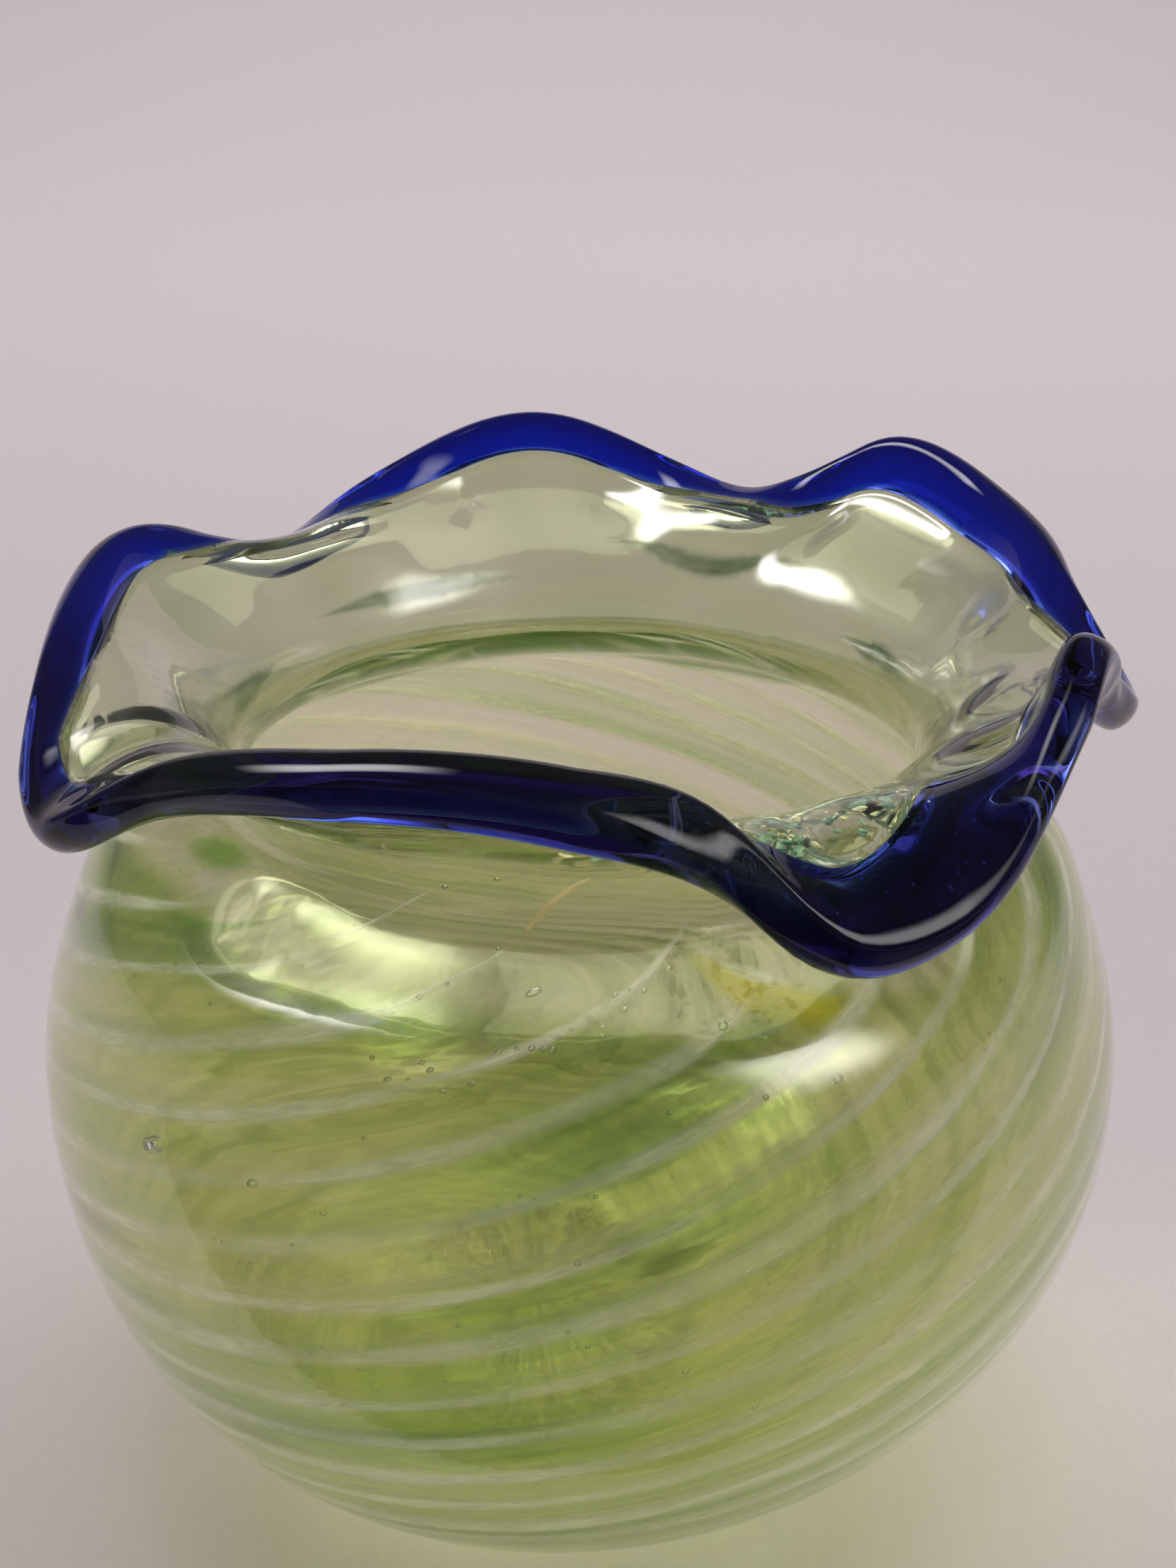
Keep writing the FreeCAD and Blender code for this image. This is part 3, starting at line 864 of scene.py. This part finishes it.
def seed_spots(layer, dice):
    """Air seeds in the casing: many tiny ones, a few large, drawn out along the swirl."""
    places = [(math.radians(azimuth), *rest) for azimuth, *rest in BUBBLES]
    for _ in range(SMALL_SEEDS):
        azimuth = dice.uniform(-1.3, 1.3) if dice.random() < 0.6 else dice.uniform(0, 2 * math.pi)
        radius = dice.choice([0.09, 0.11, 0.14, 0.18])
        places.append((azimuth, dice.uniform(38, 96), radius, dice.uniform(1.0, 1.7)))
    for azimuth, distance in smooth_places(OPAL_TRAIL, 22)[4:]:
        scatter = dice.uniform(-1.6, 0.8)
        places.append((azimuth, distance + scatter, dice.uniform(0.10, 0.20), dice.uniform(1.0, 1.8)))
    spots = []
    for azimuth, distance, radius, stretch in places:
        radius *= BUBBLE_GROWTH
        centre = layer.point(distance, azimuth) + layer.normal(distance, azimuth) * BUBBLE_DEPTH
        forward = layer.point(distance - 0.5, azimuth - 0.02) - layer.point(distance, azimuth)
        spots.append((centre, radius, Vector(forward).normalized(), stretch))
    return spots


def trough_spots(layer, dice, count, low, high, smallest, largest):
    """Chips in the glass of the deep trough, just under its inner face."""
    spots = []
    for _ in range(count):
        azimuth = math.radians(dice.gauss(TROUGH_AZIMUTH, 9))
        column = round(azimuth / (2 * math.pi) * COLUMNS) % COLUMNS
        distance = dice.uniform(low, high) * layer.wall.reach[column]
        normal = layer.normal(distance, azimuth)
        centre = layer.point(distance, azimuth) - normal * dice.uniform(0.1, 0.75)
        forward = Vector((dice.uniform(-1, 1), dice.uniform(-1, 1), dice.uniform(-0.5, 0.5))).normalized()
        spots.append((centre, dice.uniform(smallest, largest), forward, dice.uniform(1.0, 2.4)))
    return spots


def wrap_spots(wall, dice, count):
    """Tiny bubbles just under the inner face of the lip wrap in the trough."""
    spots = []
    for _ in range(count):
        share = dice.uniform(0.08, 0.8)
        depth = RIM_WALL + WRAP_INSIDE - dice.uniform(0.25, 0.5)
        column = int(dice.gauss(36, 11) / 360.0 * COLUMNS) % COLUMNS
        centre = wall.wrap_row(share, np.full(COLUMNS, depth))[column]
        spots.append((centre, dice.choice([0.05, 0.06, 0.08, 0.13]), None, 1.0))
    return spots


def build_walls(wall):
    glass = wall_piece(wall, "bowl_glass", face_depth, wall_depth, 1.0)
    dress(glass, clear_glass(), "casing_glass", "outer_casing", "inner_gather")
    veil = wall_piece(wall, "colour_veil", overlay_outer_depth, overlay_inner_depth, OVERLAY_END)
    dress(veil, veil_glass(), "overlay_glass", "colour_overlay")
    dress(lip_piece(wall), cobalt_glass(), "cobalt_glass", "lip_wrap")


def build_threads(layer):
    """The white threads and the green bits that the CAD has too."""
    white = thread_glass("opal_thread", (0.97, 0.95, 0.87), (0.98, 0.98, 0.95, 1.0), 0.85, fading=True)
    green = thread_glass("green_bit", (0.16, 0.22, 0.07), (0.40, 0.50, 0.22, 1.0), 0.30)
    spacing = 360.0 / THREAD_COUNT
    for index in range(THREAD_COUNT):
        number = index + 1
        start = FIRST_AZIMUTH + spacing * index
        places = [swirl_place(start, share) for share in np.linspace(0, 1, THREAD_STEPS)]
        width = THREAD_WIDTHS[index % len(THREAD_WIDTHS)] * FEATHERED_WIDTH
        piece = trail_piece(
            layer, "opal_thread_%02d" % number, places, width, THREAD_THICKNESS, THREAD_TAPER, number)
        dress(piece, white, "white_glass", "white_thread_%02d" % number)
    for number, (thread, first, length, width) in enumerate(STREAKS, start=1):
        start = FIRST_AZIMUTH + spacing * (thread + 0.5)
        places = [swirl_place(start, first + length * share) for share in np.linspace(0, 1, STREAK_STEPS)]
        piece = trail_piece(
            layer, "green_bit_%02d" % number, places, width * 1.2, TRAIL_THICKNESS, STREAK_TAPER, 30 + number)
        dress(piece, green, "green_glass", "green_streak_%02d" % number)


def build_trails(layer):
    """Single trails, bars and patches of coloured glass that only the looks have. The yellow and the pale
    grey patches under the front trough are a painted reflection of the lip in the shoulder.
    """
    trail = thread_glass("opal_trail", (0.92, 0.88, 0.84), (0.97, 0.96, 0.94, 1.0), 0.85)
    peach = thread_glass("peach_bar", (0.86, 0.70, 0.46), (0.96, 0.90, 0.76, 1.0), 0.95)
    smear = thread_glass("green_smear", (0.12, 0.20, 0.08), (0.40, 0.52, 0.30, 1.0), 0.34)
    # the yellow and pale grey patches are a painted reflection of the lip
    amber = thread_glass("amber_patch", (0.80, 0.72, 0.10), (0.95, 0.90, 0.20, 1.0), 0.85)
    grey = thread_glass("grey_patch", (0.90, 0.90, 0.88), (1.0, 1.0, 1.0, 1.0), 1.0)
    leaf = thread_glass("leaf_patch", (0.30, 0.48, 0.10), (0.55, 0.78, 0.22, 1.0), 0.60)
    # name, material, slot, places, steps, width, thickness, taper, seed
    trails = [
        ("opal_trail", trail, "white_glass", OPAL_TRAIL, 80, 1.3, TRAIL_THICKNESS, 0.3, 51),
        ("peach_bar", peach, "white_glass", PEACH_BAR, 40, 0.9, TRAIL_THICKNESS, 0.12, 52),
        ("hair_trail_1", trail, "white_glass", HAIR_TRAILS[0], 50, 0.5, 0.2, 0.3, 53),
        ("hair_trail_2", trail, "white_glass", HAIR_TRAILS[1], 50, 0.5, 0.2, 0.3, 54),
        ("amber_patch", amber, "green_glass", LIP_REFLECTION_AMBER, 50, 5.2, TRAIL_THICKNESS, 0.5, 57),
        ("grey_patch", grey, "white_glass", LIP_REFLECTION_GREY, 40, 3.2, TRAIL_THICKNESS, 0.4, 58),
        ("leaf_patch", leaf, "green_glass", LEAF_PATCH, 50, 4.6, TRAIL_THICKNESS, 0.5, 59),
        ("leaf_edge", leaf, "green_glass", LEAF_EDGE, 50, 1.6, TRAIL_THICKNESS, 0.5, 60),
        ("green_smear_1", smear, "green_glass", GREEN_SMEARS[0], 40, 2.6, TRAIL_THICKNESS, 0.5, 61),
        ("green_smear_2", smear, "green_glass", GREEN_SMEARS[1], 40, 2.6, TRAIL_THICKNESS, 0.5, 62),
    ]
    for name, material, slot, places, steps, *shape in trails:
        dress(trail_piece(layer, name, smooth_places(places, steps), *shape), material, slot)


def build_fold_shade(layer):
    """Green streaks that run level round the pleats of the mouth: painted shade where the folds' glass is
    seen edge-on.
    """
    fold_shade = thread_glass("painted_fold_shade", (0.12, 0.22, 0.10), (0.26, 0.42, 0.24, 1.0), 0.68)
    for number, (azimuth, height, span, width) in enumerate(FOLD_SHADE_WISPS, start=1):
        turns = [math.radians(azimuth + span * share) for share in np.linspace(-0.5, 0.5, WISP_STEPS)]
        places = [(turn, layer.distance_at(height, turn % (2 * math.pi))) for turn in turns]
        piece = trail_piece(layer, "green_wisp_%d" % number, places, width, TRAIL_THICKNESS, 0.5, 70 + number)
        dress(piece, fold_shade, "green_glass")


def build_specks(wall, layer):
    """Air seeds, chips of frit in the trough and tiny bubbles in the lip, the last drawn as pale opaque
    specks of painted glint.
    """
    dice = random.Random(11)
    dress(lumps_piece("seeds", seed_spots(layer, dice), dice), seed_glass(), "casing_glass")
    pale = trough_spots(layer, dice, 70, 0.90, 0.985, 0.10, 0.34)
    pale = lumps_piece("pale_frit", pale, dice, smooth=False, rough=FRIT_ROUGHNESS)
    dress(pale, speck_glass("pale_frit", (0.80, 0.74, 0.42), (0.90, 0.88, 0.74)), "white_glass")
    teal = trough_spots(layer, dice, 60, 0.88, 0.99, 0.15, 0.5)
    teal = lumps_piece("teal_frit", teal, dice, smooth=False, rough=FRIT_ROUGHNESS)
    dress(teal, speck_glass("teal_frit", (0.10, 0.26, 0.22), (0.34, 0.48, 0.38)), "green_glass")
    # painted glint: the lip's tiny bubbles are pale opaque specks standing in for the light they catch
    specks = lumps_piece("painted_bubble_glints", wrap_spots(wall, dice, 90), dice)
    dress(specks, speck_glass("painted_bubble_glint", (0.62, 0.66, 0.80), (0.88, 0.90, 0.96)), "cobalt_glass")


# ---------------------------------------------------------------- the studio
def set_piece(name, points, faces, material):
    """A mesh of the studio, which isn't part of the bowl."""
    mesh = bpy.data.meshes.new(name)
    mesh.from_pydata(points, [], faces)
    thing = bpy.data.objects.new(name, mesh)
    bpy.context.scene.collection.objects.link(thing)
    mesh.materials.append(material)
    return thing


def backdrop():
    """A pale sweep of paper: level under the bowl, curving up far behind it."""
    front_edge = -2.6
    bend = 1.0
    radius = 0.6
    top = 0.75
    half_width = 2.5
    flat_steps = 6
    curve_steps = 12
    line = [(front_edge + (bend - front_edge) * step / flat_steps, 0.0) for step in range(flat_steps + 1)]
    for step in range(1, curve_steps + 1):
        angle = math.pi / 2 * step / curve_steps
        line.append((bend + radius * math.sin(angle), radius * (1 - math.cos(angle))))
    line.append((bend + radius, top))
    points = []
    for y, z in line:
        points += [(-half_width, y, z), (half_width, y, z)]
    faces = [(2 * k, 2 * k + 1, 2 * k + 3, 2 * k + 2) for k in range(len(line) - 1)]
    sheet = set_piece("backdrop", points, faces, backdrop_paper())
    sheet.data.polygons.foreach_set("use_smooth", [True] * len(faces))


def window_glow(strength):
    """A lamp panel that is brightest in its middle and fades out towards its edges."""
    m = Material("window_glow")
    fades = []
    for axis in (0, 1):
        off = m.maths("ABSOLUTE", m.maths("SUBTRACT", m.across_box(axis), 0.5))
        fades.append(m.remap(off, 0.12, 0.5, 1.0, 0.0))
    fade = m.maths("MULTIPLY", fades[0], fades[1])
    glow = m.add("Emission", Color=(1.0, 0.975, 0.955, 1.0), Strength=m.maths("MULTIPLY", fade, strength))
    return m.finish(glow.outputs[0])


def window(name, place, target, width, height, strength):
    """A tall soft panel that is only seen in reflections. The top sheet does the lighting."""
    x, y = width / 2, height / 2
    corners = [(-x, -y, 0), (x, -y, 0), (x, y, 0), (-x, y, 0)]
    panel = set_piece(name, corners, [(0, 1, 2, 3)], window_glow(strength))
    panel.location = place
    panel.rotation_euler = (Vector(target) - Vector(place)).to_track_quat("-Z", "Y").to_euler()
    panel.visible_camera = False
    panel.visible_diffuse = False


def top_light(target):
    lamp = bpy.data.lights.new("top_sheet", "AREA")
    lamp.shape = "RECTANGLE"
    lamp.size, lamp.size_y = 2.4, 2.0
    lamp.energy = 44.0
    lamp.color = (1.0, 0.97, 0.98)
    thing = bpy.data.objects.new("top_sheet", lamp)
    thing.location = (0.0, 0.6, 1.7)
    thing.rotation_euler = (Vector(target) - thing.location).to_track_quat("-Z", "Y").to_euler()
    thing.visible_camera = False
    thing.visible_glossy = False
    bpy.context.scene.collection.objects.link(thing)


def surround():
    """A pale wall all round the table that glows with painted light, with painted shade towards its foot. It
    is seen past and through the glass, and lights nothing.
    """
    radius = 2.2
    top = 1.6
    sides = 48
    points = []
    for side in range(sides):
        angle = 2 * math.pi * side / sides
        points += [(radius * math.cos(angle), radius * math.sin(angle), height) for height in (0.0, top)]
    faces = []
    for side in range(sides):
        after = (side + 1) % sides
        faces.append((2 * side, 2 * side + 1, 2 * after + 1, 2 * after))
    m = Material("surround_painted_glow")
    # painted light: the wall glows by itself, painted darker towards its foot as shade
    tone = m.ramp(m.across_box("Z"), [(0.0, (0.36, 0.32, 0.335)), (0.35, (0.53, 0.47, 0.49))])
    paper = m.finish(m.add("Emission", Color=tone).outputs[0])
    wall = set_piece("surround", points, faces, paper)
    wall.visible_diffuse = False
    wall.visible_glossy = False
    wall.visible_shadow = False


def dark_reflection_card():
    """A black card on the table in front, a painted dark reflection. It only shows in reflections, as the
    dark side of a room would.
    """
    near_edge, far_edge, half_width, height = -0.07, -0.8, 0.5, 0.0008
    corners = [
        (-half_width, far_edge, height), (half_width, far_edge, height),
        (half_width, near_edge, height), (-half_width, near_edge, height),
    ]
    # painted dark reflection: near-black paper that only the glass reflects
    paper = speck_glass("dark_reflection_paper", (0.010, 0.009, 0.012), (0.016, 0.014, 0.018))
    card = set_piece("dark_reflection_card", corners, [(0, 1, 2, 3)], paper)
    card.visible_camera = False
    card.visible_diffuse = False
    card.visible_transmission = False
    card.visible_shadow = False


def studio():
    world = bpy.data.worlds.new("soft_room")
    world.use_nodes = True
    background = world.node_tree.nodes["Background"]
    background.inputs["Color"].default_value = (0.95, 0.93, 0.95, 1.0)
    background.inputs["Strength"].default_value = 0.09
    bpy.context.scene.world = world
    centre = (LEAN * MM, 0.0, EQUATOR_HEIGHT * MM)
    window("left_window", (-0.72, 0.20, 1.20), centre, 0.72, 1.15, 16.0)
    window("right_window", (0.88, -0.62, 0.82), centre, 0.85, 1.1, 7.0)
    surround()
    # a painted dark reflection in front of the bowl
    dark_reflection_card()
    top_light(centre)


def camera():
    """The camera stands close in front and looks down into the mouth."""
    pitch = math.radians(26.0)
    data = bpy.data.cameras.new("camera")
    data.sensor_fit = "VERTICAL"
    data.sensor_height = 36.0
    data.lens = 38.3112
    data.clip_start = 0.01
    thing = bpy.data.objects.new("camera", data)
    thing.location = (6.3 * MM, -151.0 * MM, 146.6 * MM)
    thing.rotation_euler = (math.pi / 2 - pitch, 0.0, 0.0)
    bpy.context.scene.collection.objects.link(thing)
    bpy.context.scene.camera = thing


def light_paths():
    """Enough bounces for light to pass the front and the back of the bowl."""
    cycles = bpy.context.scene.cycles
    cycles.max_bounces = 24
    cycles.transmission_bounces = 24
    cycles.glossy_bounces = 8
    cycles.transparent_max_bounces = 48
    cycles.blur_glossy = 0.3
    bpy.context.scene.view_settings.view_transform = "Standard"


camera()
bowl_wall = Wall()
thread_layer = Layer(bowl_wall)
build_walls(bowl_wall)
build_threads(thread_layer)
build_trails(thread_layer)
build_fold_shade(thread_layer)
build_specks(bowl_wall, thread_layer)
backdrop()
studio()
light_paths()
